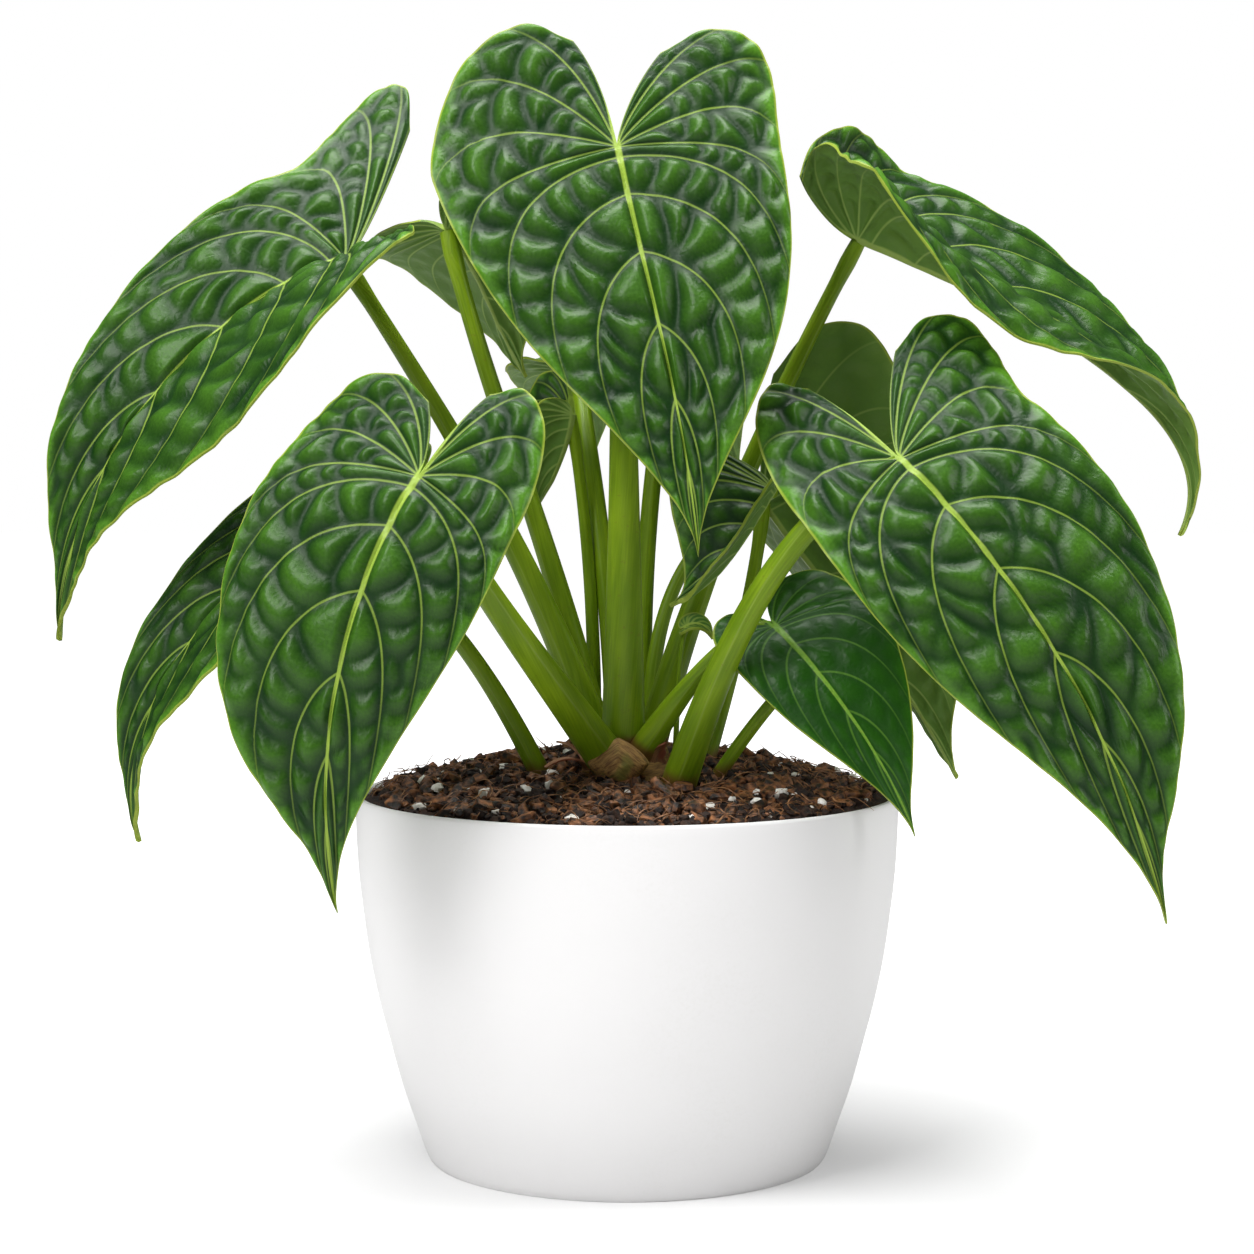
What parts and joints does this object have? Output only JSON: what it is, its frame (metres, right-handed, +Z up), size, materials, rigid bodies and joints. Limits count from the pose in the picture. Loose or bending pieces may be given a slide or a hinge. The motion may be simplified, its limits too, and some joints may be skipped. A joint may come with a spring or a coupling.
{
  "type": "potted anthurium plant",
  "caption": "Foliage aroid with quilted, heart-shaped, long-tipped leaves on channelled stalks from a short crown, in potting mix in a plain tapered pot.",
  "frame": {"origin": "middle of the flat underside of the pot, on the surface that it stands on", "axes": "+Z up along the pot's axis; -Y is the side that the upper leaves face; +X is to the right of someone looking at that side"},
  "size_m": [0.3752, 0.2509, 0.3722],
  "materials": {
    "blade": "gloss",
    "stalk": "satin",
    "crown": "matte",
    "soil": "matte",
    "pot": "satin"
  },
  "bodies": {
    "root": {"pot": "pot", "soil": "soil", "crown": "crown", "stalk_top": "stalk", "stalk_lower_left": "stalk", "stalk_small_right": "stalk", "stalk_lower_right": "stalk", "stalk_upper_left": "stalk", "stalk_upper_right": "stalk", "stalk_far_left": "stalk", "stalk_back_left": "stalk", "stalk_inner_right": "stalk", "stalk_rear_left": "stalk", "stalk_rear_right": "stalk", "stalk_inner_left": "stalk", "stalk_back_right": "stalk", "stalk_low_right": "stalk", "stalk_newest": "stalk", "blade_top": "blade", "blade_upper_left": "blade", "blade_upper_right": "blade", "blade_lower_left": "blade", "blade_lower_right": "blade", "blade_far_left": "blade", "blade_small_right": "blade", "blade_back_left": "blade", "blade_inner_left": "blade", "blade_back_right": "blade", "blade_inner_right": "blade", "blade_rear_left": "blade", "blade_rear_right": "blade", "blade_low_right": "blade", "blade_newest": "blade"}
  },
  "joints": []
}
